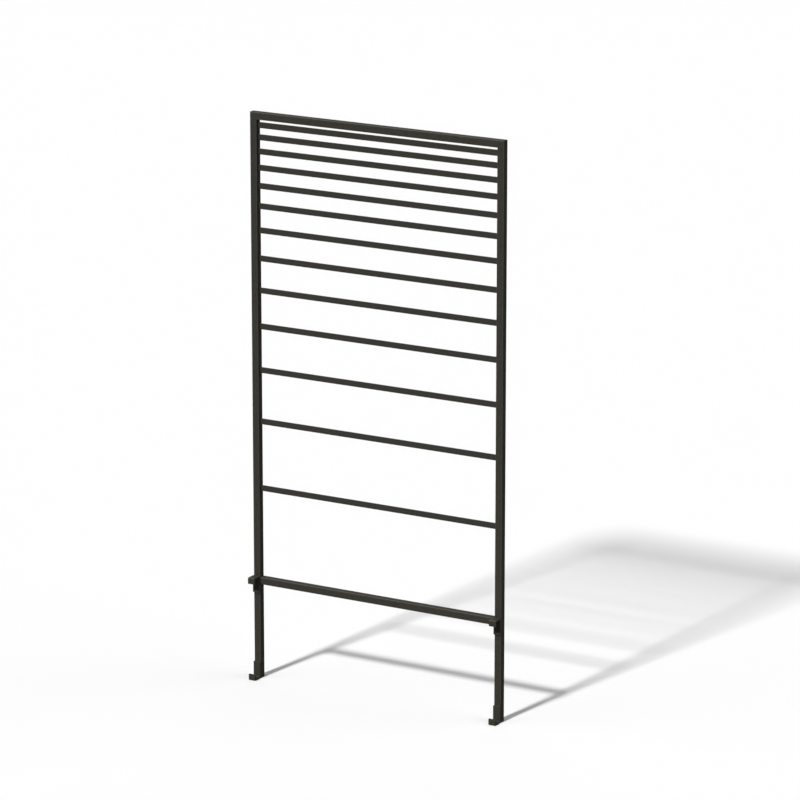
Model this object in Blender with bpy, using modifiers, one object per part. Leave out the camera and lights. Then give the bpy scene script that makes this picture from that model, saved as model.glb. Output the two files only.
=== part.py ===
"""Garden trellis panel of welded steel, at its real size in metres.

A tall frame of square tube holds flat rungs that stand closer together towards
the top. Two pairs of bent strap hooks on its front hold it on the wall of a
raised bed, one pair over the wall's top edge and one pair under its bottom edge.

+X runs to the right, +Y to the back and +Z up. The origin lies on the ground,
under the middle of the trellis with its hooks.
"""

import math

import bmesh
import bpy
from mathutils import Vector

# Frame
FRAME_WIDTH = 0.762
FRAME_HEIGHT = 1.562
TUBE_SIZE = 0.020
TUBE_WALL = 0.0015
TUBE_CORNER_RADIUS = 0.002

# Rungs, flat bars that stand on edge
RUNG_HEIGHT = 0.016
RUNG_THICKNESS = 0.003
RUNG_EDGE_RADIUS = 0.0005

# Pitch of the rungs, from top edge to top edge. The first pitch starts at the
# rail's top. From rung to rung the pitch grows by one step, and the step doubles
# after as many rungs as this list gives.
FIRST_PITCH = 0.0272
PITCH_STEP = 0.005455
RUNGS_AT_EACH_STEP = (5, 4, 2, 1)

# Hooks, bent from flat strap as wide as the tube
STRAP_THICKNESS = 0.005
STRAP_EDGE_RADIUS = 0.0006
BEND_INNER_RADIUS = 0.0015
HOOK_THROAT = 0.020
LIP_HEIGHT = 0.0175
BACK_PLATE_HEIGHT = 0.047

# The wall that the hooks hold, from its bottom edge to its top edge
BED_WALL_HEIGHT = 0.2804

# How far the cross bar's top lies below the top of the upper hooks
CROSS_BAR_DROP = 0.004

# Plastic plugs in the lower ends of the posts
PLUG_FLANGE = 0.0015
PLUG_DEPTH = 0.014
PLUG_EDGE_RADIUS = 0.0004

# Weld beads, and the fillet welds that go round the ends of the rungs
BEAD_RADIUS = 0.0012
BEAD_LENGTH = 0.013
COLLAR_LEG = 0.0018
COLLAR_TOE = 0.0004

# Clearance between neighbouring solids
GAP = 0.0003

# Number of flats on the curved surfaces
CORNER_SEGMENTS = 3
BEND_SEGMENTS = 6
BEAD_SIDES = 8
BEAD_RINGS = 4

# Edges that turn by more than this are shaded sharp
SHARP_ANGLE = math.radians(40)

# Linear red, green and blue
POWDER_COAT = (0.036, 0.035, 0.032)
PLUG_PLASTIC = (0.020, 0.020, 0.020)

# Sizes and places that follow from the sizes above
STRAP_WIDTH = TUBE_SIZE
HOOK_REACH = GAP + STRAP_THICKNESS + HOOK_THROAT + STRAP_THICKNESS
POST_Y = HOOK_REACH / 2
POST_FRONT_Y = POST_Y - TUBE_SIZE / 2
POST_X = (FRAME_WIDTH - TUBE_SIZE) / 2
INNER_X = FRAME_WIDTH / 2 - TUBE_SIZE
INNER_LENGTH = 2 * (INNER_X - GAP)
UPPER_HOOK_TOP = BED_WALL_HEIGHT + 2 * STRAP_THICKNESS
CROSS_BAR_TOP = UPPER_HOOK_TOP - CROSS_BAR_DROP
SIDES = {"left": -1, "right": 1}
ALONG_X = (0, math.pi / 2, 0)
ALONG_Y = (math.pi / 2, 0, 0)


def clear_scene():
    """Take away what a new file holds."""
    for item in list(bpy.data.objects):
        bpy.data.objects.remove(item)


def new_collection(name):
    group = bpy.data.collections.new(name)
    bpy.context.scene.collection.children.link(group)
    return group


def new_object(name, bm, group):
    """Make an object of a bmesh, shaded smooth but for its corners."""
    mesh = bpy.data.meshes.new(name)
    bm.to_mesh(mesh)
    bm.free()
    mesh.materials.append(None)
    mesh.shade_smooth()
    mesh.set_sharp_from_angle(angle=SHARP_ANGLE)
    piece = bpy.data.objects.new(name, mesh)
    group.objects.link(piece)
    return piece


def copy_of(piece, name, group):
    """Another object with the same mesh and modifiers."""
    twin = piece.copy()
    twin.name = name
    group.objects.link(twin)
    return twin


def hide_cutter(cutter, owner):
    """Tie a cutter to the piece that it shapes and keep it out of sight."""
    cutter.parent = owner
    cutter.hide_render = True
    cutter.display_type = "WIRE"


def boolean(piece, tool, operation):
    modifier = piece.modifiers.new(tool.name, "BOOLEAN")
    modifier.operation = operation
    modifier.solver = "EXACT"
    modifier.object = tool


def finish(piece, colour, roughness):
    """Give the piece a material of its own."""
    material = bpy.data.materials.new(piece.name + "_finish")
    material.use_nodes = True
    shader = material.node_tree.nodes["Principled BSDF"]
    shader.inputs["Base Color"].default_value = (*colour, 1.0)
    shader.inputs["Roughness"].default_value = roughness
    shader.inputs["Metallic"].default_value = 0.0
    slot = piece.material_slots[0]
    slot.link = "OBJECT"
    slot.material = material


def powder_coat(piece):
    finish(piece, POWDER_COAT, roughness=0.55)


def bevel_edges(bm, edges, offset, segments):
    bmesh.ops.bevel(
        bm,
        geom=edges,
        offset=offset,
        offset_type="OFFSET",
        segments=segments,
        profile=0.5,
        affect="EDGES",
        material=-1,
    )


def bar_bmesh(size_x, size_y, length):
    """A plain bar along Z, from 0 to its length."""
    bm = bmesh.new()
    bmesh.ops.create_cube(bm, size=1.0)
    bmesh.ops.translate(bm, verts=bm.verts, vec=(0, 0, 0.5))
    bmesh.ops.scale(bm, verts=bm.verts, vec=(size_x, size_y, length))
    return bm


def rounded_bar_bmesh(size_x, size_y, length, edge_radius, segments):
    """A bar along Z with its four long edges rounded."""
    bm = bar_bmesh(size_x, size_y, length)
    long_edges = [e for e in bm.edges if abs(e.verts[0].co.z - e.verts[1].co.z) > length / 2]
    bevel_edges(bm, long_edges, edge_radius, segments)
    return bm


def cut_flat(bm, point, normal):
    """Cut the solid bar with a plane, drop what lies ahead of it and close the cut."""
    geometry = list(bm.verts) + list(bm.edges) + list(bm.faces)
    cut = bmesh.ops.bisect_plane(
        bm, geom=geometry, dist=1e-7, plane_co=point, plane_no=normal, clear_outer=True
    )
    rim = [item for item in cut["geom_cut"] if isinstance(item, bmesh.types.BMEdge)]
    bmesh.ops.contextual_create(bm, geom=rim)
    bmesh.ops.recalc_face_normals(bm, faces=bm.faces)


def tube(name, length, group, cutters, mitre_top=False, mitre_bottom=False):
    """A square tube along Z. A mitred end is long on its -X side and short on its +X side."""
    bm = rounded_bar_bmesh(TUBE_SIZE, TUBE_SIZE, length, TUBE_CORNER_RADIUS, CORNER_SEGMENTS)
    long_side = -TUBE_SIZE / 2
    if mitre_top:
        normal = Vector((1, 0, 1)).normalized()
        cut_flat(bm, Vector((long_side, 0, length)) - normal * GAP / 2, normal)
    if mitre_bottom:
        normal = Vector((1, 0, -1)).normalized()
        cut_flat(bm, Vector((long_side, 0, 0)) - normal * GAP / 2, normal)
    piece = new_object(name, bm, group)

    # The bore's cutter runs out of both ends of the tube.
    bore_size = TUBE_SIZE - 2 * TUBE_WALL
    bore = bar_bmesh(bore_size, bore_size, length + 2 * TUBE_SIZE)
    bmesh.ops.translate(bore, verts=bore.verts, vec=(0, 0, -TUBE_SIZE))
    cutter = new_object(name + "_bore", bore, cutters)
    hide_cutter(cutter, piece)
    boolean(piece, cutter, "DIFFERENCE")
    return piece


def posts(group, cutters):
    """Two tubes that stand on their end plugs, mitred at the top towards each other."""
    foot_z = PLUG_FLANGE + GAP
    for side, sign in SIDES.items():
        post = tube(side + "_post", FRAME_HEIGHT - foot_z, group, cutters, mitre_top=True)
        post.location = (sign * POST_X, POST_Y, foot_z)
        # The mitre's short side faces +X, so the right post is turned round.
        post.rotation_euler = (0, 0, math.pi if sign > 0 else 0)
        powder_coat(post)


def top_rail(group, cutters):
    """A tube along X whose mitred ends meet the posts, with the short side down."""
    rail = tube("top_rail", FRAME_WIDTH, group, cutters, mitre_top=True, mitre_bottom=True)
    rail.rotation_euler = ALONG_X
    rail.location = (-FRAME_WIDTH / 2, POST_Y, FRAME_HEIGHT - TUBE_SIZE / 2)
    powder_coat(rail)


def cross_bar(group, cutters):
    """The tube that joins the posts at the height of the upper hooks."""
    bar = tube("cross_bar", INNER_LENGTH, group, cutters)
    bar.rotation_euler = ALONG_X
    bar.location = (-INNER_LENGTH / 2, POST_Y, CROSS_BAR_TOP - TUBE_SIZE / 2)
    powder_coat(bar)


def rung_heights():
    """Height of each rung's middle, from the uppermost one down."""
    pitches = [FIRST_PITCH]
    for doublings, rungs in enumerate(RUNGS_AT_EACH_STEP):
        for _ in range(rungs):
            pitches.append(pitches[-1] + PITCH_STEP * 2**doublings)
    return [FRAME_HEIGHT - sum(pitches[: n + 1]) - RUNG_HEIGHT / 2 for n in range(len(pitches))]


def rungs(group):
    """Flat bars between the posts, in the middle of their depth."""
    bm = rounded_bar_bmesh(RUNG_HEIGHT, RUNG_THICKNESS, INNER_LENGTH, RUNG_EDGE_RADIUS, 1)
    rung = new_object("rung_01", bm, group)
    rung.rotation_euler = ALONG_X
    for number, height in enumerate(rung_heights(), start=1):
        if number > 1:
            rung = copy_of(rung, f"rung_{number:02d}", group)
        rung.location = (-INNER_LENGTH / 2, POST_Y, height)
        powder_coat(rung)


def hook_bmesh():
    """The outer skin of an upper hook: back plate, top plate and lip, with round bends.

    Its top lies at Z = 0 and the back of its back plate at Y = 0.
    """
    front = -(2 * STRAP_THICKNESS + HOOK_THROAT)
    path = [(0, -BACK_PLATE_HEIGHT), (0, 0), (front, 0), (front, -LIP_HEIGHT)]
    bm = bmesh.new()
    verts = [bm.verts.new((-STRAP_WIDTH / 2, y, z)) for y, z in path]
    edges = [bm.edges.new(pair) for pair in zip(verts, verts[1:])]
    swept = bmesh.ops.extrude_edge_only(bm, edges=edges)
    far_side = [item for item in swept["geom"] if isinstance(item, bmesh.types.BMVert)]
    bmesh.ops.translate(bm, verts=far_side, vec=(STRAP_WIDTH, 0, 0))
    bends = [e for e in bm.edges if len(e.link_faces) == 2]
    bevel_edges(bm, bends, BEND_INNER_RADIUS + STRAP_THICKNESS, BEND_SEGMENTS)
    bm.normal_update()
    top = max(bm.faces, key=lambda face: face.calc_center_median().z)
    if top.normal.z < 0:
        bmesh.ops.reverse_faces(bm, faces=bm.faces)
    return bm


def hooks(group):
    """An upper and a lower hook on each post. The lower one is the same hook turned over."""
    hook = new_object("upper_hook_left", hook_bmesh(), group)
    strap = hook.modifiers.new("strap", "SOLIDIFY")
    strap.thickness = STRAP_THICKNESS
    strap.offset = -1
    strap.use_even_offset = True
    edges = hook.modifiers.new("rounded_edges", "BEVEL")
    edges.width = STRAP_EDGE_RADIUS
    edges.segments = 1
    edges.limit_method = "ANGLE"
    edges.angle_limit = SHARP_ANGLE
    for side, sign in SIDES.items():
        for level, height, turn in (("upper", UPPER_HOOK_TOP, 0), ("lower", 0, math.pi)):
            name = f"{level}_hook_{side}"
            if name != hook.name:
                hook = copy_of(hook, name, group)
            hook.location = (sign * POST_X, POST_FRONT_Y - GAP, height)
            hook.rotation_euler = (0, turn, 0)
            powder_coat(hook)


def end_plugs(group, cutters):
    """Plastic plugs: a flange under the post and a stem inside its bore."""
    stem_size = TUBE_SIZE - 2 * (TUBE_WALL + GAP)
    overlap = PLUG_FLANGE / 2
    for side, sign in SIDES.items():
        flange = rounded_bar_bmesh(
            TUBE_SIZE, TUBE_SIZE, PLUG_FLANGE, TUBE_CORNER_RADIUS, CORNER_SEGMENTS
        )
        plug = new_object("end_plug_" + side, flange, group)
        plug.location = (sign * POST_X, POST_Y, 0)
        stem = rounded_bar_bmesh(
            stem_size, stem_size, PLUG_DEPTH + overlap, PLUG_EDGE_RADIUS, 1
        )
        bmesh.ops.translate(stem, verts=stem.verts, vec=(0, 0, PLUG_FLANGE - overlap))
        stem_piece = new_object(plug.name + "_stem", stem, cutters)
        hide_cutter(stem_piece, plug)
        boolean(plug, stem_piece, "UNION")
        finish(plug, PLUG_PLASTIC, roughness=0.45)


def rung_weld_bmesh():
    """A fillet weld round a rung's end: wide at the post, narrow on the rung, open inside."""
    hole_x = RUNG_HEIGHT + 2 * GAP
    hole_y = RUNG_THICKNESS + 2 * GAP
    wide_x = hole_x + 2 * COLLAR_LEG
    wide_y = hole_y + 2 * COLLAR_LEG
    narrow_x = hole_x + 2 * COLLAR_TOE
    narrow_y = hole_y + 2 * COLLAR_TOE
    bm = bar_bmesh(wide_x, wide_y, COLLAR_LEG)
    far_end = [v for v in bm.verts if v.co.z > COLLAR_LEG / 2]
    bmesh.ops.scale(bm, verts=far_end, vec=(narrow_x / wide_x, narrow_y / wide_y, 1))

    ends = [face for face in bm.faces if abs(face.normal.z) > 0.9]
    for face in ends:
        is_far = face.calc_center_median().z > COLLAR_LEG / 2
        margin = COLLAR_TOE if is_far else COLLAR_LEG
        bmesh.ops.inset_region(bm, faces=[face], thickness=margin, use_even_offset=True)
    rims = [edge for face in ends for edge in face.edges]
    bmesh.ops.delete(bm, geom=ends, context="FACES_ONLY")
    bmesh.ops.bridge_loops(bm, edges=rims)
    bmesh.ops.recalc_face_normals(bm, faces=bm.faces)
    return bm


def rung_welds(group):
    """One fillet weld round each end of each rung, against the post's inner face."""
    mesh = None
    for number, height in enumerate(rung_heights(), start=1):
        for side, sign in SIDES.items():
            name = f"weld_rung_{number:02d}_{side}"
            if mesh is None:
                weld = new_object(name, rung_weld_bmesh(), group)
                mesh = weld.data
            else:
                weld = bpy.data.objects.new(name, mesh)
                group.objects.link(weld)
            # Its wide end turns towards the post.
            weld.rotation_euler = (0, -sign * math.pi / 2, 0)
            weld.location = (sign * (INNER_X - GAP), POST_Y, height)
            powder_coat(weld)


def bead(name, centre, turn, group):
    """A straight weld bead: a ball drawn out along Z, so that both its ends are round."""
    bm = bmesh.new()
    bmesh.ops.create_uvsphere(
        bm, u_segments=BEAD_SIDES, v_segments=BEAD_RINGS, radius=BEAD_RADIUS
    )
    stretch = BEAD_LENGTH / 2 - BEAD_RADIUS
    for vert in bm.verts:
        if abs(vert.co.z) > BEAD_RADIUS / 10:
            vert.co.z += math.copysign(stretch, vert.co.z)
    weld = new_object(name, bm, group)
    weld.location = centre
    weld.rotation_euler = turn
    powder_coat(weld)


def frame_welds(group):
    """Beads inside the mitred corners, above and below the cross bar and on the hooks' ends."""
    seat = BEAD_RADIUS + GAP
    rail_corner = FRAME_HEIGHT - TUBE_SIZE - seat
    bar_top_corner = CROSS_BAR_TOP + seat
    bar_bottom_corner = CROSS_BAR_TOP - TUBE_SIZE - seat
    upper_plate_end = UPPER_HOOK_TOP - BACK_PLATE_HEIGHT - seat
    lower_plate_end = BACK_PLATE_HEIGHT + seat
    for side, sign in SIDES.items():
        inner_x = sign * (INNER_X - seat)
        bead("weld_corner_" + side, (inner_x, POST_Y, rail_corner), ALONG_Y, group)
        bead("weld_cross_bar_top_" + side, (inner_x, POST_Y, bar_top_corner), ALONG_Y, group)
        bead("weld_cross_bar_bottom_" + side, (inner_x, POST_Y, bar_bottom_corner), ALONG_Y, group)
        plate_x = sign * POST_X
        plate_y = POST_FRONT_Y - seat
        bead("weld_upper_hook_" + side, (plate_x, plate_y, upper_plate_end), ALONG_X, group)
        bead("weld_lower_hook_" + side, (plate_x, plate_y, lower_plate_end), ALONG_X, group)


def main():
    clear_scene()
    group = new_collection("garden_trellis")
    cutters = new_collection("garden_trellis_cutters")
    posts(group, cutters)
    top_rail(group, cutters)
    cross_bar(group, cutters)
    rungs(group)
    hooks(group)
    end_plugs(group, cutters)
    rung_welds(group)
    frame_welds(group)

    origin = bpy.data.objects.new("trellis_origin", None)
    group.objects.link(origin)
    for piece in group.objects:
        if piece.type == "MESH":
            piece.parent = origin


main()
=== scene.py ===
"""Looks of a garden trellis that hooks on the wall of a raised bed.

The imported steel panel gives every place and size. This file dresses it: rounded
tubes, bars and bent straps, weld beads with their ripples, moulded end plugs and
a black powder coat with a fine texture, on a pale floor in soft studio light.
"""

import math

import bmesh
import bpy
from bpy.props import FloatProperty, FloatVectorProperty, PointerProperty
from mathutils import Matrix, Vector


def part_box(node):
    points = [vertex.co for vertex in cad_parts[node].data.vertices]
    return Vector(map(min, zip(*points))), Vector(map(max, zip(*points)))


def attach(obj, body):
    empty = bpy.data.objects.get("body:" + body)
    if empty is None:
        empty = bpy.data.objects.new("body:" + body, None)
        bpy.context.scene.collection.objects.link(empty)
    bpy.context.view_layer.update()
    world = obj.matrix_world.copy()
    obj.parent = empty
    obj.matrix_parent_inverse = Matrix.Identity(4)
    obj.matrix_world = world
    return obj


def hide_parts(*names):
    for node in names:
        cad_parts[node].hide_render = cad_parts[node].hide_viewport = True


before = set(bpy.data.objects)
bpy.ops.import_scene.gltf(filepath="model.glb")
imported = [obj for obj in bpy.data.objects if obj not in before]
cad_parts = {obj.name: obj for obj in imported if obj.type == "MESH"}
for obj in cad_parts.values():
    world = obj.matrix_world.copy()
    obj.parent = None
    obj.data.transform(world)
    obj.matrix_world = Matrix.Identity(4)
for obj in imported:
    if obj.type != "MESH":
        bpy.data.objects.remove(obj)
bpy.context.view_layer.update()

bl_info = {
    "name": "Garden trellis",
    "version": (1, 0, 0),
    "blender": (4, 5, 0),
    "location": "3D View > Sidebar > Trellis",
    "description": "Dresses a packed steel trellis in its powder coat and sets up its studio",
    "category": "Object",
}

BODY = "root"
SIDES = {"left": -1, "right": 1}
RUNGS = sorted(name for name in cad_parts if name.startswith("rung_"))
ALONG_X = Matrix.Rotation(math.radians(90), 4, "Y")

# Faces that meet at more than this angle keep a sharp edge between them.
SHARP_ANGLE = math.radians(35)
# Share of a face's normal along one axis from which it counts as a flat face
FLAT = 0.985
CORNER_SEGMENTS = 6
EDGE_SEGMENTS = 3
BEND_SEGMENTS = 14

# A bead is round in its section before it is pressed flat, and tapers to blunt ends.
BEAD_SIDES = 16
BEAD_FLATNESS = 0.6
BEAD_END = 0.25
# How far the sides of a ripple lag behind its crown, in half widths of the bead
RIPPLE_LAG = 0.6
RIPPLE_RINGS = 5
RIPPLE_DEPTH = 0.08
LEAST_RIPPLES = 3
# Step from drop to drop along a sine, which makes them uneven
DROP_STEP = 2.3

PLUG_FINS = 3
# How far a fin stands out of its plug's core, in thicknesses of the fin
FIN_REACH = 1.5

# Share that the crowding of the grains has in the coat's tone, next to the grains' own height,
# which paints shade into their hollows and light onto their crests
SPOT_SHARE = 0.6
# Noise from which the coat is at its darkest, and up to which it gets lighter
TONE_NOISE = (0.36, 0.64)
# The coat's roughness drifts by this much over so many spots, within this noise
ROUGHNESS_DRIFT = 0.04
SPOTS_PER_DRIFT = 8
DRIFT_NOISE = (0.3, 0.7)

# Spark-eroded grain of the plugs: width, depth, strength and range of roughness
SPARK_MM = 0.3
SPARK_DEPTH_MM = 0.02
SPARK_STRENGTH = 0.6
SATIN_ROUGHNESS = (0.42, 0.52)

# The floor reaches this far from the object, past everything that the camera sees.
FLOOR_REACH = 60
# A sun lights the same from anywhere, so this only says where its stand is.
LAMP_DISTANCE = 5
SENSOR_WIDTH_MM = 36
SIGHT_LIMIT = 200


def linear(hex_colour):
    """Linear red, green and blue of an sRGB hex colour."""
    channels = [int(hex_colour[i : i + 2], 16) / 255 for i in (1, 3, 5)]
    return tuple(c / 12.92 if c <= 0.04045 else ((c + 0.055) / 1.055) ** 2.4 for c in channels)


class TrellisSizes(bpy.types.PropertyGroup):
    """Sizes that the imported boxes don't say."""

    tube_wall: FloatProperty(
        name="Tube wall", description="Wall of the square tube", default=0.0015, unit="LENGTH"
    )
    tube_corner: FloatProperty(
        name="Tube corner", description="Outer corner radius", default=0.002, unit="LENGTH"
    )
    rung_edge: FloatProperty(
        name="Rung edge", description="Edge radius of the flat bar", default=0.0005, unit="LENGTH"
    )
    strap_thickness: FloatProperty(
        name="Strap", description="Thickness of the hooks' strap", default=0.005, unit="LENGTH"
    )
    strap_edge: FloatProperty(
        name="Strap edge", description="Edge radius of the strap", default=0.0006, unit="LENGTH"
    )
    bend_radius: FloatProperty(
        name="Bend", description="Outer radius of the hooks' bends", default=0.0035, unit="LENGTH"
    )
    inner_radius: FloatProperty(
        name="Inner bend",
        description="Inner radius of the hooks' bends",
        default=0.001,
        unit="LENGTH",
    )
    lip_height: FloatProperty(
        name="Lip", description="Height of a hook's lip", default=0.0175, unit="LENGTH"
    )
    bead_radius: FloatProperty(
        name="Bead", description="Half the width of a weld bead", default=0.0016, unit="LENGTH"
    )
    bead_lift: FloatProperty(
        name="Bead lift",
        description="How far the middle of a bead stands out of its corner",
        default=0.0006,
        unit="LENGTH",
    )
    ripple_pitch: FloatProperty(
        name="Ripple", description="Length of one weld ripple", default=0.0013, unit="LENGTH"
    )
    seam_width: FloatProperty(
        name="Seam", description="Width of the mitres' dressed seam", default=0.0006, unit="LENGTH"
    )
    seam_sink: FloatProperty(
        name="Seam sink",
        description="How far the dressed seam lies below the tubes' faces",
        default=0.00002,
        unit="LENGTH",
        precision=5,
    )
    plug_flange: FloatProperty(
        name="Plug flange",
        description="Thickness of an end plug's head",
        default=0.0015,
        unit="LENGTH",
    )
    plug_edge: FloatProperty(
        name="Plug edge", description="Edge radius of an end plug", default=0.0004, unit="LENGTH"
    )
    plug_fin: FloatProperty(
        name="Plug fin",
        description="Thickness and depth of the fins that grip the bore",
        default=0.0011,
        unit="LENGTH",
    )
    plug_fin_pitch: FloatProperty(
        name="Fin pitch",
        description="From one fin of an end plug to the next",
        default=0.0036,
        unit="LENGTH",
    )
    plug_clearance: FloatProperty(
        name="Plug clearance",
        description="Gap between an end plug and the bore",
        default=0.0003,
        unit="LENGTH",
    )


class TrellisFinish(bpy.types.PropertyGroup):
    """Colours and gloss of the coat and the plugs."""

    # The coat's colour in the grains' hollows, darker there as painted shade
    coat: FloatVectorProperty(
        name="Coat",
        description="Colour of the powder coat in its hollows",
        default=linear("#2B2A26"),
        subtype="COLOR",
        min=0,
        max=1,
    )
    # The coat's colour on the grains' crests, lighter there as painted light
    coat_crest_with_painted_light: FloatVectorProperty(
        name="Coat crests",
        description="Colour of the powder coat on its grains",
        default=linear("#3E3C36"),
        subtype="COLOR",
        min=0,
        max=1,
    )
    coat_roughness: FloatProperty(
        name="Coat roughness",
        description="Roughness of the matt coat",
        default=0.8,
        min=0,
        max=1,
        subtype="FACTOR",
    )
    coat_specular: FloatProperty(
        name="Coat gloss",
        description="How much of its light the matt coat mirrors",
        default=0.05,
        min=0,
        max=1,
        subtype="FACTOR",
    )
    edge_roughness: FloatProperty(
        name="Edge roughness",
        description="Roughness of the thin film on edges and bends",
        default=0.45,
        min=0,
        max=1,
        subtype="FACTOR",
    )
    edge_specular: FloatProperty(
        name="Edge gloss",
        description="How much of its light the thin film on edges mirrors",
        default=0.28,
        min=0,
        max=1,
        subtype="FACTOR",
    )
    bend_specular: FloatProperty(
        name="Bend gloss",
        description="How much of its light the film on the straps' bends mirrors",
        default=0.2,
        min=0,
        max=1,
        subtype="FACTOR",
    )
    plug: FloatVectorProperty(
        name="Plug",
        description="Colour of the moulded end plugs",
        default=linear("#262626"),
        subtype="COLOR",
        min=0,
        max=1,
    )
    # The plugs' colour on the crests of their grain, lighter there as painted light
    plug_crest_with_painted_light: FloatVectorProperty(
        name="Plug crests",
        description="Colour of the end plugs on the crests of their grain",
        default=linear("#2B2B2B"),
        subtype="COLOR",
        min=0,
        max=1,
    )
    floor: FloatVectorProperty(
        name="Floor",
        description="Colour of the pale floor",
        default=linear("#EDEDED"),
        subtype="COLOR",
        min=0,
        max=1,
    )
    floor_bounce: FloatVectorProperty(
        name="Floor bounce",
        description="Colour of the light that the floor throws back on the object",
        default=linear("#8A8A8A"),
        subtype="COLOR",
        min=0,
        max=1,
    )


def lamp_direction(name, azimuth, elevation):
    """A property for where a lamp stands: its turn round the object and its height."""
    return FloatVectorProperty(
        name=name,
        description="Turn of this lamp round the object, and its height",
        default=(math.radians(azimuth), math.radians(elevation)),
        size=2,
        unit="ROTATION",
    )


class TrellisStudio(bpy.types.PropertyGroup):
    """Lamps and camera."""

    key_strength: FloatProperty(
        name="Key", description="Strength of the key lamp", default=3.66, min=0
    )
    key_direction: lamp_direction("Key stands at", -7.2, 43.3)
    key_spread: FloatProperty(
        name="Key width",
        description="Angle that the key lamp fills in the sky",
        default=math.radians(5.3),
        subtype="ANGLE",
    )
    right_strength: FloatProperty(
        name="Right box", description="Strength of the soft box at the right", default=0.80, min=0
    )
    right_direction: lamp_direction("Right box stands at", 107, 50)
    left_strength: FloatProperty(
        name="Left box", description="Strength of the soft box at the left", default=0.50, min=0
    )
    left_direction: lamp_direction("Left box stands at", -50, 45)
    back_strength: FloatProperty(
        name="Back box", description="Strength of the soft box behind", default=0.30, min=0
    )
    back_direction: lamp_direction("Back box stands at", -150, 45)
    box_spread: FloatProperty(
        name="Box width",
        description="Angle that each soft box fills in the sky",
        default=math.radians(44),
        subtype="ANGLE",
    )
    fill_strength: FloatProperty(
        name="Fill", description="Strength of the light from all round", default=0.003, min=0
    )
    camera_azimuth: FloatProperty(
        name="Camera azimuth",
        description="Turn of the camera round the object",
        default=math.radians(30.124),
        subtype="ANGLE",
    )
    camera_elevation: FloatProperty(
        name="Camera elevation",
        description="Height of the camera",
        default=math.radians(14.949),
        subtype="ANGLE",
    )
    camera_distance: FloatProperty(
        name="Camera distance",
        description="Distance from the camera to its target",
        default=11.7336,
        unit="LENGTH",
    )
    camera_lens: FloatProperty(
        name="Lens", description="Focal length in millimetres", default=201.54, min=1
    )
    camera_target: FloatVectorProperty(
        name="Target",
        description="Point that the camera looks at",
        default=(0.06937, 0.01515, 0.83628),
        subtype="TRANSLATION",
    )


def direction(azimuth, elevation):
    """Unit vector towards a lamp or camera; azimuth 0 stands in front of the trellis."""
    flat = math.cos(elevation)
    return Vector((math.sin(azimuth) * flat, -math.cos(azimuth) * flat, math.sin(elevation)))


def bevel(bm, geometry, offset, segments, affect="EDGES"):
    """Round edges or corners off."""
    bmesh.ops.bevel(
        bm,
        geom=list(geometry),
        offset=offset,
        offset_type="OFFSET",
        segments=segments,
        profile=0.5,
        affect=affect,
        material=-1,
    )


def place(bm, matrix):
    """Move a whole mesh to where it belongs."""
    bmesh.ops.transform(bm, matrix=matrix, verts=bm.verts)


def join(*meshes):
    """One bmesh that holds several."""
    whole = meshes[0]
    for part in meshes[1:]:
        keep = bpy.data.meshes.new("part")
        part.to_mesh(keep)
        part.free()
        whole.from_mesh(keep)
        bpy.data.meshes.remove(keep)
    return whole


def new_piece(name, bm, materials, slot, *nodes):
    """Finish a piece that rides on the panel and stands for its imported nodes.

    The first material goes on its flat faces and the last one on its corners and bends.
    """
    bmesh.ops.recalc_face_normals(bm, faces=bm.faces)
    for face in bm.faces:
        if max(abs(part) for part in face.normal) < FLAT:
            face.material_index = len(materials) - 1
    mesh = bpy.data.meshes.new(name)
    bm.to_mesh(mesh)
    bm.free()
    for material in materials:
        mesh.materials.append(material)
    mesh.shade_smooth()
    mesh.set_sharp_from_angle(angle=SHARP_ANGLE)
    piece = bpy.data.objects.new(name, mesh)
    bpy.context.scene.collection.objects.link(piece)
    even = piece.modifiers.new("flat_faces_stay_flat", "WEIGHTED_NORMAL")
    even.keep_sharp = True
    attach(piece, BODY)
    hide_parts(*nodes)


def add_node(tree, kind, inputs=None, links=None, **settings):
    """A node with its options, its socket values and its links from other sockets."""
    node = tree.nodes.new(kind)
    for name, value in settings.items():
        setattr(node, name, value)
    for name, value in (inputs or {}).items():
        node.inputs[name].default_value = value
    for name, source in (links or {}).items():
        tree.links.new(source, node.inputs[name])
    return node


def seen_rays(tree):
    """A value that is 1 for the rays that show the white room: those of eye, gloss and glass."""
    rays = add_node(tree, "ShaderNodeLightPath").outputs
    pair = add_node(
        tree,
        "ShaderNodeMath",
        operation="MAXIMUM",
        links={0: rays["Is Camera Ray"], 1: rays["Is Glossy Ray"]},
    )
    every = add_node(
        tree,
        "ShaderNodeMath",
        operation="MAXIMUM",
        links={0: pair.outputs[0], 1: rays["Is Transmission Ray"]},
    )
    return every.outputs[0]


def per_metre(millimetres):
    """Noise scale at which a pattern repeats about every so many millimetres."""
    return 1000 / millimetres


def coats(context, metal, corner="edges"):
    """The coat on the flat faces of one kind of stock, and the thinner film on its corners."""
    look = context.scene.trellis_finish
    gloss = look.edge_specular if corner == "edges" else look.bend_specular
    return (
        powder_coat(look, "powder_coat_on_" + metal, look.coat_roughness, look.coat_specular),
        powder_coat(look, f"powder_coat_on_{metal}_{corner}", look.edge_roughness, gloss),
    )


def weld_coat(context):
    """The coat on the weld beads, which has no flat faces to tell apart."""
    look = context.scene.trellis_finish
    return (powder_coat(look, "powder_coat_on_weld", look.coat_roughness, look.coat_specular),)


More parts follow.
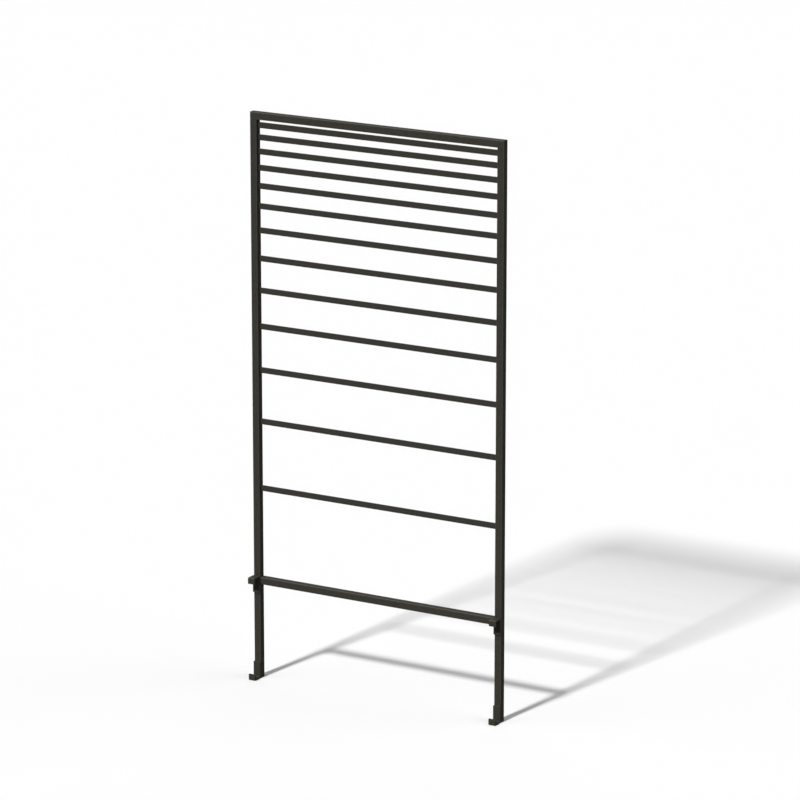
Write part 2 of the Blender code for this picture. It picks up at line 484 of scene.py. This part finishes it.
def powder_coat(look, name, roughness, specular, grain_mm=0.7, grain_height_mm=0.2, spot_mm=2.0):
    """Black polyester powder coat, sprayed as dust and baked to a fine matt texture.

    The eye sees a soft black that is a little warm, with no clear reflections and
    a faint unevenness where the baked grains stand closer or wider apart. Its colour is
    also painted darker in the grains' hollows and lighter on their crests, which is
    painted shade and painted light. On edges the melting powder pulls thinner and
    smoother, so they have a dull shine.
    """
    found = bpy.data.materials.get(name)
    if found:
        return found
    material = bpy.data.materials.new(name)
    material.use_nodes = True
    tree = material.node_tree
    shader = tree.nodes["Principled BSDF"]
    shader.inputs["IOR"].default_value = 1.5
    shader.inputs["Metallic"].default_value = 0.0
    shader.inputs["Specular IOR Level"].default_value = specular
    place_on = add_node(tree, "ShaderNodeTexCoord").outputs["Object"]
    # Grains a little under a millimetre wide
    grain = add_node(
        tree,
        "ShaderNodeTexNoise",
        inputs={"Scale": per_metre(grain_mm), "Detail": 2.0, "Roughness": 0.5},
        links={"Vector": place_on},
    )
    # Spots where the grains crowd, as coarse as a picture of the whole panel can show
    spots = add_node(
        tree,
        "ShaderNodeTexNoise",
        inputs={"Scale": per_metre(spot_mm), "Detail": 1.0, "Roughness": 0.5},
        links={"Vector": place_on},
    )
    drift = add_node(
        tree,
        "ShaderNodeTexNoise",
        inputs={"Scale": per_metre(SPOTS_PER_DRIFT * spot_mm), "Detail": 2.0},
        links={"Vector": place_on},
    )
    # Grain height and crowded spots set the coat's tone: painted shade in the grains' hollows,
    # painted light on their crests, and spots of random tone
    painted_grain_shade_and_spots = add_node(
        tree,
        "ShaderNodeMix",
        data_type="FLOAT",
        inputs={0: SPOT_SHARE},
        links={2: grain.outputs["Fac"], 3: spots.outputs["Fac"]},
    )
    tone_with_painted_grain_shade = add_node(
        tree,
        "ShaderNodeMapRange",
        inputs={"From Min": TONE_NOISE[0], "From Max": TONE_NOISE[1]},
        links={"Value": painted_grain_shade_and_spots.outputs[0]},
    )
    colour = add_node(
        tree,
        "ShaderNodeMix",
        data_type="RGBA",
        inputs={6: (*look.coat, 1.0), 7: (*look.coat_crest_with_painted_light, 1.0)},
        links={0: tone_with_painted_grain_shade.outputs["Result"]},
    )
    matt = add_node(
        tree,
        "ShaderNodeMapRange",
        inputs={
            "From Min": DRIFT_NOISE[0],
            "From Max": DRIFT_NOISE[1],
            "To Min": roughness - ROUGHNESS_DRIFT,
            "To Max": roughness + ROUGHNESS_DRIFT,
        },
        links={"Value": drift.outputs["Fac"]},
    )
    bump = add_node(
        tree,
        "ShaderNodeBump",
        inputs={"Strength": 1.0, "Distance": grain_height_mm / 1000},
        links={"Height": grain.outputs["Fac"]},
    )
    tree.links.new(colour.outputs[2], shader.inputs["Base Color"])
    tree.links.new(matt.outputs["Result"], shader.inputs["Roughness"])
    tree.links.new(bump.outputs["Normal"], shader.inputs["Normal"])
    return material


def moulded_plastic(context, name):
    """Black polyethylene, moulded in a spark-eroded tool: a waxy satin with a very fine grain."""
    found = bpy.data.materials.get(name)
    if found:
        return found
    look = context.scene.trellis_finish
    material = bpy.data.materials.new(name)
    material.use_nodes = True
    tree = material.node_tree
    shader = tree.nodes["Principled BSDF"]
    shader.inputs["IOR"].default_value = 1.51
    shader.inputs["Metallic"].default_value = 0.0
    shader.inputs["Specular IOR Level"].default_value = 0.3
    place_on = add_node(tree, "ShaderNodeTexCoord").outputs["Object"]
    sparks = add_node(
        tree,
        "ShaderNodeTexNoise",
        inputs={"Scale": per_metre(SPARK_MM), "Detail": 3.0},
        links={"Vector": place_on},
    )
    # The colour follows the grain's height: painted light on its crests and painted shade in its
    # hollows
    colour = add_node(
        tree,
        "ShaderNodeMix",
        data_type="RGBA",
        inputs={6: (*look.plug, 1.0), 7: (*look.plug_crest_with_painted_light, 1.0)},
        links={0: sparks.outputs["Fac"]},
    )
    satin = add_node(
        tree,
        "ShaderNodeMapRange",
        inputs={"To Min": SATIN_ROUGHNESS[0], "To Max": SATIN_ROUGHNESS[1]},
        links={"Value": sparks.outputs["Fac"]},
    )
    bump = add_node(
        tree,
        "ShaderNodeBump",
        inputs={"Strength": SPARK_STRENGTH, "Distance": SPARK_DEPTH_MM / 1000},
        links={"Height": sparks.outputs["Fac"]},
    )
    tree.links.new(colour.outputs[2], shader.inputs["Base Color"])
    tree.links.new(satin.outputs["Result"], shader.inputs["Roughness"])
    tree.links.new(bump.outputs["Normal"], shader.inputs["Normal"])
    return material


def rounded_plate(size_x, size_y, radius, segments):
    """A flat rectangle in the XY plane with round corners."""
    bm = bmesh.new()
    bmesh.ops.create_grid(bm, x_segments=1, y_segments=1, size=0.5)
    bmesh.ops.scale(bm, verts=bm.verts, vec=(size_x, size_y, 1))
    bevel(bm, bm.verts, radius, segments, affect="VERTICES")
    return bm


def pull_out(bm, length):
    """Pull a flat section out along Z into a solid piece of stock."""
    grown = bmesh.ops.extrude_face_region(bm, geom=list(bm.faces), use_keep_orig=True)
    far_end = [item for item in grown["geom"] if isinstance(item, bmesh.types.BMVert)]
    bmesh.ops.translate(bm, verts=far_end, vec=(0, 0, length))


def tube_bmesh(size, length, wall, radius, start_slope=0, end_slope=0):
    """A square tube along Z with its bore. A slope of 1 or -1 mitres that end.

    Lengths are those of its -X side.
    """
    bm = rounded_plate(size, size, radius, CORNER_SEGMENTS)
    bore = list(bm.faces)
    bmesh.ops.inset_individual(bm, faces=bore, thickness=wall, use_even_offset=True)
    bmesh.ops.delete(bm, geom=bore, context="FACES_ONLY")
    pull_out(bm, length)
    for vert in bm.verts:
        slope = end_slope if vert.co.z > length / 2 else start_slope
        vert.co.z += slope * (vert.co.x + size / 2)
    return bm


def bar_bmesh(size_x, size_y, length, radius, segments):
    """A solid bar along Z with round long edges."""
    bm = rounded_plate(size_x, size_y, radius, segments)
    pull_out(bm, length)
    return bm


def bead_bmesh(length, radius, pitch):
    """A weld bead along Z, centred, its crown at +Y: a ripple for each pitch, and round ends."""
    ripples = max(LEAST_RIPPLES, round(length / pitch))
    rings = RIPPLE_RINGS * ripples
    bm = bmesh.new()
    bmesh.ops.create_circle(bm, cap_ends=True, radius=radius, segments=BEAD_SIDES)
    last_radius = radius
    face = bm.faces[:][0]
    for ring in range(rings + 1):
        along = length * ring / rings
        to_end = min(along, length - along) / radius
        roundness = math.sqrt(1 - (1 - to_end) ** 2) if to_end < 1 else 1.0
        ripple = 1 - RIPPLE_DEPTH * (1 - abs(math.sin(math.pi * ring / RIPPLE_RINGS)))
        # No two drops of a hand-made bead are quite the same.
        drop = 1 - RIPPLE_DEPTH * (0.5 + 0.5 * math.sin(DROP_STEP * (ring // RIPPLE_RINGS)))
        this_radius = radius * max(BEAD_END, roundness) * ripple * drop
        if ring:
            last_face = face
            grown = bmesh.ops.extrude_face_region(bm, geom=[face], use_keep_orig=True)
            face = next(item for item in grown["geom"] if isinstance(item, bmesh.types.BMFace))
            # Only the first face stays, as the cap of the near end.
            if ring > 1:
                bmesh.ops.delete(bm, geom=[last_face], context="FACES_ONLY")
        factor = this_radius / last_radius
        bmesh.ops.scale(bm, verts=face.verts, vec=(factor, factor, 1))
        step = along - face.verts[0].co.z
        bmesh.ops.translate(bm, verts=face.verts, vec=(0, 0, step))
        last_radius = this_radius
    # Each ripple is a crescent: its sides lag behind its crown.
    for vert in bm.verts:
        vert.co.z -= length / 2 + RIPPLE_LAG * vert.co.x**2 / radius
        vert.co.y *= BEAD_FLATNESS
    return bm


def lay_bead(sizes, corner, along, out, length):
    """A fillet bead on a seam: its middle, the way it runs, the way out of its corner."""
    along, out = Vector(along), Vector(out).normalized()
    bm = bead_bmesh(length, sizes.bead_radius, sizes.ripple_pitch)
    turn = Matrix((out.cross(along), out, along)).transposed().to_4x4()
    place(bm, Matrix.Translation(Vector(corner) + out * sizes.bead_lift) @ turn)
    return bm


def box_of(node):
    """Lowest corner, highest corner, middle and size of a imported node."""
    low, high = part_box(node)
    return low, high, (low + high) / 2, high - low


class TRELLIS_OT_posts(bpy.types.Operator):
    """Make the two posts: square tubes on end plugs, mitred at the top towards each other"""

    bl_idname = "trellis.posts"
    bl_label = "Posts"

    def execute(self, context):
        sizes = context.scene.trellis_sizes
        coat = coats(context, "tube")
        for side, sign in SIDES.items():
            low, _, middle, size = box_of(side + "_post")
            bm = tube_bmesh(size.x, size.z, sizes.tube_wall, sizes.tube_corner, end_slope=-1)
            turn = Matrix.Rotation(math.pi if sign > 0 else 0, 4, "Z")
            place(bm, Matrix.Translation((middle.x, middle.y, low.z)) @ turn)
            new_piece(side + "_post_tube", bm, coat, "coated_tube", side + "_post")
        return {"FINISHED"}


class TRELLIS_OT_rail(bpy.types.Operator):
    """Make the top rail: a square tube, mitred at both ends with its short side down"""

    bl_idname = "trellis.rail"
    bl_label = "Top rail"

    def execute(self, context):
        sizes = context.scene.trellis_sizes
        coat = coats(context, "tube")
        low, _, middle, size = box_of("top_rail")
        bm = tube_bmesh(
            size.z, size.x, sizes.tube_wall, sizes.tube_corner, start_slope=1, end_slope=-1
        )
        place(bm, Matrix.Translation((low.x, middle.y, middle.z)) @ ALONG_X)
        new_piece("top_rail_tube", bm, coat, "coated_tube", "top_rail")
        return {"FINISHED"}


class TRELLIS_OT_cross_bar(bpy.types.Operator):
    """Make the cross bar: a square tube that butts against both posts"""

    bl_idname = "trellis.cross_bar"
    bl_label = "Cross bar"

    def execute(self, context):
        sizes = context.scene.trellis_sizes
        coat = coats(context, "tube")
        low, _, middle, size = box_of("cross_bar")
        bm = tube_bmesh(size.z, size.x, sizes.tube_wall, sizes.tube_corner)
        place(bm, Matrix.Translation((low.x, middle.y, middle.z)) @ ALONG_X)
        new_piece("cross_bar_tube", bm, coat, "coated_tube", "cross_bar")
        return {"FINISHED"}


class TRELLIS_OT_rungs(bpy.types.Operator):
    """Make the rungs: flat bars on edge between the posts"""

    bl_idname = "trellis.rungs"
    bl_label = "Rungs"

    def execute(self, context):
        sizes = context.scene.trellis_sizes
        coat = coats(context, "flat_bar")
        for node in RUNGS:
            low, _, middle, size = box_of(node)
            bm = bar_bmesh(size.z, size.y, size.x, sizes.rung_edge, EDGE_SEGMENTS)
            place(bm, Matrix.Translation((low.x, middle.y, middle.z)) @ ALONG_X)
            new_piece(node + "_bar", bm, coat, "coated_bar", node)
        return {"FINISHED"}


def hook_bmesh(size, thickness, lip_height, bend_radius, inner_radius, edge_radius):
    """An upper hook of bent strap: back plate, top plate and lip.

    Its top lies at Z = 0 and the back of its back plate at Y = 0.
    """
    bm = bmesh.new()
    path = [(0, -size.z), (0, 0), (-size.y, 0), (-size.y, -lip_height)]
    verts = [bm.verts.new((-size.x / 2, y, z)) for y, z in path]
    edges = [bm.edges.new(pair) for pair in zip(verts, verts[1:])]
    swept = bmesh.ops.extrude_edge_only(bm, edges=edges)
    far_side = [item for item in swept["geom"] if isinstance(item, bmesh.types.BMVert)]
    bmesh.ops.translate(bm, verts=far_side, vec=(size.x, 0, 0))
    bmesh.ops.recalc_face_normals(bm, faces=bm.faces)
    bm.normal_update()
    if max(bm.faces, key=lambda face: face.calc_center_median().z).normal.z < 0:
        bmesh.ops.reverse_faces(bm, faces=bm.faces)
    # The sheet is the strap's outer skin, so its thickness grows inwards.
    bmesh.ops.solidify(bm, geom=list(bm.faces), thickness=thickness)
    across = [
        edge for edge in bm.edges if abs(edge.verts[0].co.x - edge.verts[1].co.x) > size.x / 2
    ]
    outside = [edge for edge in across if edge.verts[0].co.z > -thickness / 2]
    inside = [edge for edge in across if abs(edge.verts[0].co.z + thickness) < thickness / 2]
    bevel(bm, outside, bend_radius, BEND_SEGMENTS)
    bevel(bm, inside, inner_radius, BEND_SEGMENTS // 2)
    bm.normal_update()
    arrises = [edge for edge in bm.edges if edge.calc_face_angle(0) > SHARP_ANGLE]
    bevel(bm, arrises, edge_radius, EDGE_SEGMENTS)
    return bm


class TRELLIS_OT_hooks(bpy.types.Operator):
    """Make the four hooks: the upper ones open down, the lower ones are the same turned over"""

    bl_idname = "trellis.hooks"
    bl_label = "Hooks"

    def execute(self, context):
        sizes = context.scene.trellis_sizes
        coat = coats(context, "strap", "bends")
        for side in SIDES:
            for level in ("upper", "lower"):
                node = f"{level}_hook_{side}"
                low, high, middle, size = box_of(node)
                bm = hook_bmesh(
                    size,
                    sizes.strap_thickness,
                    sizes.lip_height,
                    sizes.bend_radius,
                    sizes.inner_radius,
                    sizes.strap_edge,
                )
                upright = level == "upper"
                turn = Matrix.Rotation(0 if upright else math.pi, 4, "Y")
                height = high.z if upright else low.z
                place(bm, Matrix.Translation((middle.x, high.y, height)) @ turn)
                new_piece(node + "_strap", bm, coat, "coated_strap", node)
        return {"FINISHED"}


class TRELLIS_OT_end_plugs(bpy.types.Operator):
    """Make the moulded plugs that close the posts' lower ends"""

    bl_idname = "trellis.end_plugs"
    bl_label = "End plugs"

    def execute(self, context):
        sizes = context.scene.trellis_sizes
        plastic = (moulded_plastic(context, "moulded_black_plastic"),)
        edge, fin = sizes.plug_edge, sizes.plug_fin
        for side in SIDES:
            low, _, middle, size = box_of("end_plug_" + side)
            head = bar_bmesh(
                size.x, size.y, sizes.plug_flange, sizes.tube_corner, CORNER_SEGMENTS
            )
            rims = [item for item in head.edges if item.calc_face_angle(0) > SHARP_ANGLE]
            bevel(head, rims, edge, EDGE_SEGMENTS)
            # The core starts inside the head, and the fins reach from it towards the bore.
            grip = size.x - 2 * (sizes.tube_wall + sizes.plug_clearance)
            core_start = sizes.plug_flange - edge
            core_width = grip - 2 * FIN_REACH * fin
            core = bar_bmesh(core_width, core_width, size.z - core_start, fin, EDGE_SEGMENTS)
            place(core, Matrix.Translation((0, 0, core_start)))
            fins = []
            for number in range(1, PLUG_FINS + 1):
                ring = bar_bmesh(grip, grip, fin, edge, EDGE_SEGMENTS)
                place(ring, Matrix.Translation((0, 0, number * sizes.plug_fin_pitch)))
                fins.append(ring)
            bm = join(head, core, *fins)
            place(bm, Matrix.Translation((middle.x, middle.y, low.z)))
            new_piece(
                f"end_plug_{side}_moulding", bm, plastic, "plug_plastic", "end_plug_" + side
            )
        return {"FINISHED"}


def inner_face(side):
    """Where a post's inner face stands along X."""
    low, high, _, _ = box_of(side + "_post")
    return low.x if side == "right" else high.x


class TRELLIS_OT_rung_welds(bpy.types.Operator):
    """Make the fillet welds on the front and back of the rungs' ends"""

    bl_idname = "trellis.rung_welds"
    bl_label = "Rung welds"

    def execute(self, context):
        sizes = context.scene.trellis_sizes
        coat = weld_coat(context)
        for rung in RUNGS:
            low, high, middle, size = box_of(rung)
            for side, sign in SIDES.items():
                node = f"weld_{rung}_{side}"
                beads = [
                    lay_bead(
                        sizes, (inner_face(side), y, middle.z), (0, 0, 1), (-sign, way, 0), size.z
                    )
                    for y, way in ((low.y, -1), (high.y, 1))
                ]
                new_piece(node + "_bead", join(*beads), coat, "coated_weld", node)
        return {"FINISHED"}


class TRELLIS_OT_frame_welds(bpy.types.Operator):
    """Make the beads in the frame's corners, on the cross bar and on the hooks"""

    bl_idname = "trellis.frame_welds"
    bl_label = "Frame welds"

    def execute(self, context):
        sizes = context.scene.trellis_sizes
        coat = weld_coat(context)
        _, rail_high, rail_middle, rail_size = box_of("top_rail")
        bar_low, bar_high, bar_middle, _ = box_of("cross_bar")
        for side, sign in SIDES.items():
            post_low, _, post_middle, post_size = box_of(side + "_post")
            inner = inner_face(side)

            # The mitre's seam is dressed flush, so it is a slice of tube a hair below the faces.
            top = rail_high.z - sizes.seam_sink
            seam = tube_bmesh(
                rail_size.z - 2 * sizes.seam_sink,
                sizes.seam_width * math.sqrt(2),
                sizes.tube_wall,
                sizes.tube_corner,
                start_slope=-1,
                end_slope=-1,
            )
            turned = Matrix.Rotation(math.pi if sign > 0 else 0, 4, "Z")
            start = Vector((post_middle.x, post_middle.y, top - sizes.seam_width / math.sqrt(2)))
            place(seam, Matrix.Translation(start) @ turned)
            for vert in seam.verts:
                vert.co.z = min(vert.co.z, top)
            node = "weld_corner_" + side
            length = box_of(node)[3].y
            corner = (inner, rail_middle.y, rail_high.z - post_size.x)
            inside = lay_bead(sizes, corner, (0, 1, 0), (-sign, 0, -1), length)
            new_piece(node + "_bead", join(seam, inside), coat, "coated_weld", node)

            for level, up, z in (("top", 1, bar_high.z), ("bottom", -1, bar_low.z)):
                node = f"weld_cross_bar_{level}_{side}"
                length = box_of(node)[3].y
                fillet = lay_bead(
                    sizes, (inner, bar_middle.y, z), (0, 1, 0), (-sign, 0, up), length
                )
                new_piece(node + "_bead", fillet, coat, "coated_weld", node)

            for level, up in (("upper", -1), ("lower", 1)):
                node = f"weld_{level}_hook_{side}"
                low, high, middle, _ = box_of(f"{level}_hook_{side}")
                end = (middle.x, post_low.y, high.z if up > 0 else low.z)
                fillet = lay_bead(sizes, end, (1, 0, 0), (0, -1, up), box_of(node)[3].x)
                new_piece(node + "_bead", fillet, coat, "coated_weld", node)
        return {"FINISHED"}


class TRELLIS_OT_studio(bpy.types.Operator):
    """Set up the pale floor, the key lamp, the three soft boxes, the room and the camera"""

    bl_idname = "trellis.studio"
    bl_label = "Studio"

    def execute(self, context):
        scene = context.scene
        studio = scene.trellis_studio
        look = scene.trellis_finish

        bm = bmesh.new()
        bmesh.ops.create_grid(bm, x_segments=1, y_segments=1, size=FLOOR_REACH)
        mesh = bpy.data.meshes.new("studio_floor")
        bm.to_mesh(mesh)
        bm.free()
        floor = bpy.data.objects.new("studio_floor", mesh)
        scene.collection.objects.link(floor)
        paint = bpy.data.materials.new("matt_white_floor")
        paint.use_nodes = True
        tree = paint.node_tree
        tree.nodes.clear()
        # Eye and gloss see white paper; the light that it throws back is that of a grey room.
        white = add_node(tree, "ShaderNodeBsdfDiffuse", inputs={"Color": (*look.floor, 1.0)})
        grey = add_node(tree, "ShaderNodeBsdfDiffuse", inputs={"Color": (*look.floor_bounce, 1.0)})
        shown = add_node(
            tree,
            "ShaderNodeMixShader",
            links={0: seen_rays(tree), 1: grey.outputs[0], 2: white.outputs[0]},
        )
        add_node(tree, "ShaderNodeOutputMaterial", links={"Surface": shown.outputs[0]})
        mesh.materials.append(paint)

        for name in ("key", "right", "left", "back"):
            lamp = bpy.data.lights.new(name + "_lamp", "SUN")
            lamp.energy = getattr(studio, name + "_strength")
            lamp.angle = studio.key_spread if name == "key" else studio.box_spread
            stand = bpy.data.objects.new(name + "_lamp", lamp)
            towards = direction(*getattr(studio, name + "_direction"))
            stand.rotation_mode = "QUATERNION"
            stand.rotation_quaternion = towards.to_track_quat("Z", "Y")
            stand.location = towards * LAMP_DISTANCE
            scene.collection.objects.link(stand)

        # Eye, gloss and glass see a white room; the matt faces get a weaker fill.
        world = bpy.data.worlds.new("white_room")
        world.use_nodes = True
        tree = world.node_tree
        back = tree.nodes["Background"]
        back.inputs["Color"].default_value = (1, 1, 1, 1)
        level = add_node(
            tree,
            "ShaderNodeMapRange",
            inputs={"To Min": studio.fill_strength, "To Max": 1.0},
            links={"Value": seen_rays(tree)},
        )
        tree.links.new(level.outputs["Result"], back.inputs["Strength"])
        scene.world = world
        scene.view_settings.view_transform = "Standard"

        lens = bpy.data.cameras.new("studio_camera")
        lens.sensor_width = SENSOR_WIDTH_MM
        lens.lens = studio.camera_lens
        lens.clip_end = SIGHT_LIMIT
        camera = bpy.data.objects.new("studio_camera", lens)
        towards = direction(studio.camera_azimuth, studio.camera_elevation)
        camera.rotation_mode = "QUATERNION"
        camera.rotation_quaternion = towards.to_track_quat("Z", "Y")
        camera.location = Vector(studio.camera_target) + towards * studio.camera_distance
        scene.collection.objects.link(camera)
        scene.camera = camera
        return {"FINISHED"}


class TRELLIS_PT_panel(bpy.types.Panel):
    """Lists the trellis's pieces, sizes and colours"""

    bl_idname = "TRELLIS_PT_panel"
    bl_label = "Garden trellis"
    bl_space_type = "VIEW_3D"
    bl_region_type = "UI"
    bl_category = "Trellis"

    def draw(self, context):
        for name in STEPS:
            self.layout.operator("trellis." + name)
        for group in (
            context.scene.trellis_sizes,
            context.scene.trellis_finish,
            context.scene.trellis_studio,
        ):
            box = self.layout.box()
            for key in group.__annotations__:
                box.prop(group, key)


STEPS = (
    "posts",
    "rail",
    "cross_bar",
    "rungs",
    "hooks",
    "end_plugs",
    "rung_welds",
    "frame_welds",
    "studio",
)
CLASSES = (
    TrellisSizes,
    TrellisFinish,
    TrellisStudio,
    TRELLIS_OT_posts,
    TRELLIS_OT_rail,
    TRELLIS_OT_cross_bar,
    TRELLIS_OT_rungs,
    TRELLIS_OT_hooks,
    TRELLIS_OT_end_plugs,
    TRELLIS_OT_rung_welds,
    TRELLIS_OT_frame_welds,
    TRELLIS_OT_studio,
    TRELLIS_PT_panel,
)


def register():
    for item in CLASSES:
        bpy.utils.register_class(item)
    bpy.types.Scene.trellis_sizes = PointerProperty(type=TrellisSizes)
    bpy.types.Scene.trellis_finish = PointerProperty(type=TrellisFinish)
    bpy.types.Scene.trellis_studio = PointerProperty(type=TrellisStudio)


def unregister():
    del bpy.types.Scene.trellis_studio
    del bpy.types.Scene.trellis_finish
    del bpy.types.Scene.trellis_sizes
    for item in reversed(CLASSES):
        bpy.utils.unregister_class(item)


def main():
    register()
    for name in STEPS:
        getattr(bpy.ops.trellis, name)()


if __name__ == "__main__":
    main()
